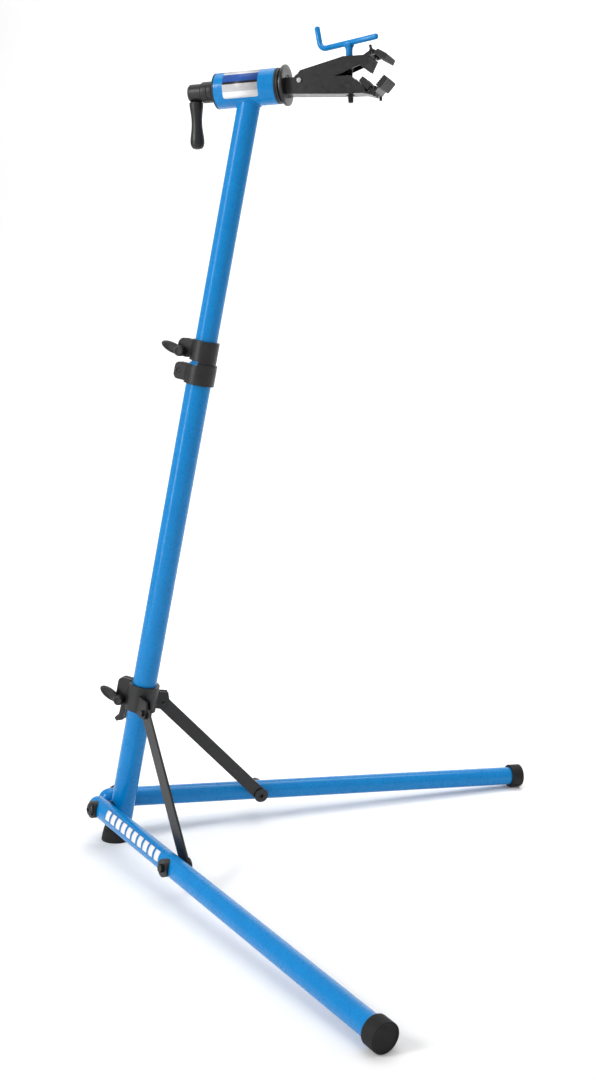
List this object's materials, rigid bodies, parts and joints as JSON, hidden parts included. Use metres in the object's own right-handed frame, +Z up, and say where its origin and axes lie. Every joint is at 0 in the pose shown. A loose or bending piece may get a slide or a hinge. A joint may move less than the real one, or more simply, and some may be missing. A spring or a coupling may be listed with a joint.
{
  "type": "bike repair stand",
  "caption": "Folding bike repair stand: a leaning telescoping mast on two braced legs, with a rotating screw clamp that grips a bike's seat post or frame tube.",
  "frame": {"origin": "middle of the mast foot's sole on the floor", "axes": "+Z up; +X the way the mast leans and the clamp points; the legs spread to either side of +X, front leg towards -Y"},
  "size_m": [0.7402, 1.1812, 1.4699],
  "materials": {
    "blue_paint": "gloss",
    "boot_rubber": "matte",
    "jaw_rubber": "matte",
    "bright_steel": "polished",
    "nylon": "satin",
    "black_plastic": "satin",
    "black_steel": "satin",
    "dark_steel": "satin"
  },
  "bodies": {
    "lower_mast": {"lower_tube": "blue_paint", "mast_foot": "boot_rubber", "pivot_bolt_front": "dark_steel", "pivot_bolt_rear": "dark_steel", "pivot_nut_front": "dark_steel", "pivot_nut_rear": "dark_steel", "height_clamp": "black_plastic", "guide_bush": "nylon", "height_clamp_bolt": "dark_steel", "clamp_fixing_bolt": "dark_steel"},
    "height_lever_body": {"height_lever": "black_plastic"},
    "upper_mast": {"upper_tube": "blue_paint", "head_barrel": "blue_paint", "barrel_bush_front": "nylon", "barrel_bush_rear": "nylon"},
    "clamp_head": {"head_shaft": "dark_steel", "thrust_ring": "black_plastic", "head_flange": "dark_steel", "lower_arm": "black_steel", "arm_pivot_pin": "bright_steel", "lower_jaw_plate": "black_steel", "lower_pad_front": "jaw_rubber", "lower_pad_rear": "jaw_rubber", "lower_jaw_bolt_near": "dark_steel", "lower_jaw_bolt_far": "dark_steel"},
    "lock_handle": {"lock_hub": "black_plastic", "lock_rod": "dark_steel", "lock_grip": "black_plastic"},
    "upper_jaw": {"upper_arm": "black_steel", "upper_jaw_plate": "black_steel", "upper_pad_front": "jaw_rubber", "upper_pad_rear": "jaw_rubber", "upper_jaw_bolt_near": "dark_steel", "upper_jaw_bolt_far": "dark_steel"},
    "lower_trunnion_body": {"lower_trunnion": "dark_steel"},
    "upper_trunnion_body": {"upper_trunnion": "dark_steel"},
    "spindle": {"spindle_screw": "dark_steel", "t_handle": "blue_paint"},
    "collar": {"slide_collar": "black_plastic", "collar_bolt": "dark_steel", "brace_pivot_bolt_front": "dark_steel", "brace_pivot_bolt_rear": "dark_steel"},
    "collar_lever_body": {"collar_lever": "black_plastic"},
    "brace_front_body": {"brace_front": "black_steel", "brace_cap_front": "black_steel"},
    "leg_front": {"leg_tube_front": "blue_paint", "leg_cap_front": "boot_rubber", "pivot_saddle_front": "black_plastic", "brace_saddle_front": "black_plastic", "pivot_spacer_front": "black_plastic", "brace_bolt_front": "dark_steel"},
    "brace_rear_body": {"brace_rear": "black_steel", "brace_cap_rear": "black_steel"},
    "leg_rear": {"leg_tube_rear": "blue_paint", "leg_cap_rear": "boot_rubber", "pivot_saddle_rear": "black_plastic", "brace_saddle_rear": "black_plastic", "pivot_spacer_rear": "black_plastic", "brace_bolt_rear": "dark_steel"}
  },
  "joints": [
    {"name": "height_lever_turn", "type": "hinge", "parent": "lower_mast", "child": "height_lever_body", "pos_m": [0.13952, 0, 0.92742], "axis": [0, 1, 0], "range_deg": [0, 70]},
    {"name": "mast_slide", "type": "slide", "parent": "lower_mast", "child": "upper_mast", "axis": [0.1908, 0, 0.9816], "range_m": [-0.38, 0.04]},
    {"name": "head_turn", "type": "hinge", "parent": "upper_mast", "child": "clamp_head", "pos_m": [0.25998, 0, 1.36945], "axis": [0.9994, 0, 0.0349], "continuous": true},
    {"name": "lock_turn", "type": "hinge", "parent": "clamp_head", "child": "lock_handle", "pos_m": [0.16354, 0, 1.36609], "axis": [0.9994, 0, 0.0349], "range_deg": [0, 180]},
    {"name": "jaw_open", "type": "hinge", "parent": "clamp_head", "child": "upper_jaw", "pos_m": [0.35592, 0, 1.37561], "axis": [0, -1, 0], "range_deg": [-5, 16]},
    {"name": "lower_trunnion_turn", "type": "hinge", "parent": "clamp_head", "child": "lower_trunnion_body", "pos_m": [0.44001, 0, 1.36319], "axis": [0, -1, 0], "range_deg": [-2.6, 8.1]},
    {"name": "upper_trunnion_turn", "type": "hinge", "parent": "upper_jaw", "child": "upper_trunnion_body", "pos_m": [0.4381, 0, 1.39732], "axis": [0, -1, 0], "range_deg": [-8.1, 2.6]},
    {"name": "spindle_turn", "type": "hinge", "parent": "upper_trunnion_body", "child": "spindle", "pos_m": [0.4381, 0, 1.39732], "axis": [-0.0558, 0, 0.9984], "continuous": true},
    {"name": "collar_slide", "type": "slide", "parent": "lower_mast", "child": "collar", "axis": [0.1908, 0, 0.9816], "range_m": [0, 0.3681]},
    {"name": "collar_lever_turn", "type": "hinge", "parent": "collar", "child": "collar_lever_body", "pos_m": [0.01555, 0, 0.27916], "axis": [0, 1, 0], "range_deg": [0, 60]},
    {"name": "leg_fold_front", "type": "hinge", "parent": "lower_mast", "child": "leg_front", "pos_m": [-0.0134, -0.03365, 0.06882], "axis": [-0.6044, -0.788, 0.1175], "range_deg": [0, 75]},
    {"name": "brace_turn_front", "type": "hinge", "parent": "collar", "child": "brace_front_body", "pos_m": [0.08075, -0.03875, 0.26618], "axis": [0.6044, 0.788, -0.1175], "range_deg": [0, 52.4]},
    {"name": "leg_fold_rear", "type": "hinge", "parent": "lower_mast", "child": "leg_rear", "pos_m": [-0.0134, 0.03365, 0.06882], "axis": [0.6044, -0.788, -0.1175], "range_deg": [0, 75.1]},
    {"name": "brace_turn_rear", "type": "hinge", "parent": "collar", "child": "brace_rear_body", "pos_m": [0.08075, 0.03875, 0.26618], "axis": [-0.6044, 0.788, 0.1175], "range_deg": [0, 52.4]}
  ],
  "couplings": [
    {"joint": "leg_fold_rear", "follows": "leg_fold_front", "ratio": 1},
    {"joint": "collar_slide", "follows": "leg_fold_front", "m_per_rad": 0.28087},
    {"joint": "brace_turn_front", "follows": "leg_fold_front", "ratio": 0.69728},
    {"joint": "brace_turn_rear", "follows": "leg_fold_front", "ratio": 0.69728},
    {"joint": "lower_trunnion_turn", "follows": "jaw_open", "ratio": 0.5},
    {"joint": "upper_trunnion_turn", "follows": "jaw_open", "ratio": -0.5}
  ]
}
